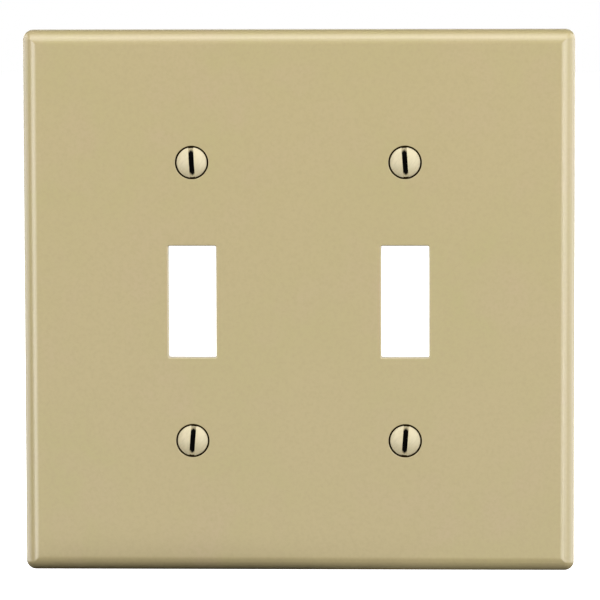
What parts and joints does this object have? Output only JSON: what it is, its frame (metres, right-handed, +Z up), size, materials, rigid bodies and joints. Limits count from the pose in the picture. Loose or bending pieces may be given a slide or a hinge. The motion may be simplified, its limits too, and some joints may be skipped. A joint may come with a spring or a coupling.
{
  "type": "two-gang toggle wall plate",
  "caption": "Ivory plastic cover for two toggle switches side by side, with rounded edges, rectangular openings and captive slotted oval-head screws.",
  "frame": {"origin": "centre of the plate on the wall plane, which is the rear rim's plane", "axes": "+X to the right and +Z up as seen from the room, +Y into the wall, so the face looks to -Y"},
  "size_m": [0.1194, 0.0135, 0.1174],
  "materials": {
    "ivory_nylon": "satin moulded nylon, smooth face",
    "painted_screw": "ivory paint on the head, zinc plate on the thread"
  },
  "bodies": {
    "plate": {"wall_plate": "ivory_nylon"},
    "upper_left_screw": {"screw_upper_left": "painted_screw"},
    "upper_right_screw": {"screw_upper_right": "painted_screw"},
    "lower_left_screw": {"screw_lower_left": "painted_screw"},
    "lower_right_screw": {"screw_lower_right": "painted_screw"}
  },
  "joints": [
    {"name": "upper_left_turn", "type": "hinge", "parent": "plate", "child": "upper_left_screw", "pos_m": [-0.02302, 0, 0.03016], "axis": [0, 1, 0], "continuous": true},
    {"name": "upper_right_turn", "type": "hinge", "parent": "plate", "child": "upper_right_screw", "pos_m": [0.02302, 0, 0.03016], "axis": [0, 1, 0], "continuous": true},
    {"name": "lower_left_turn", "type": "hinge", "parent": "plate", "child": "lower_left_screw", "pos_m": [-0.02302, 0, -0.03016], "axis": [0, 1, 0], "continuous": true},
    {"name": "lower_right_turn", "type": "hinge", "parent": "plate", "child": "lower_right_screw", "pos_m": [0.02302, 0, -0.03016], "axis": [0, 1, 0], "continuous": true}
  ]
}
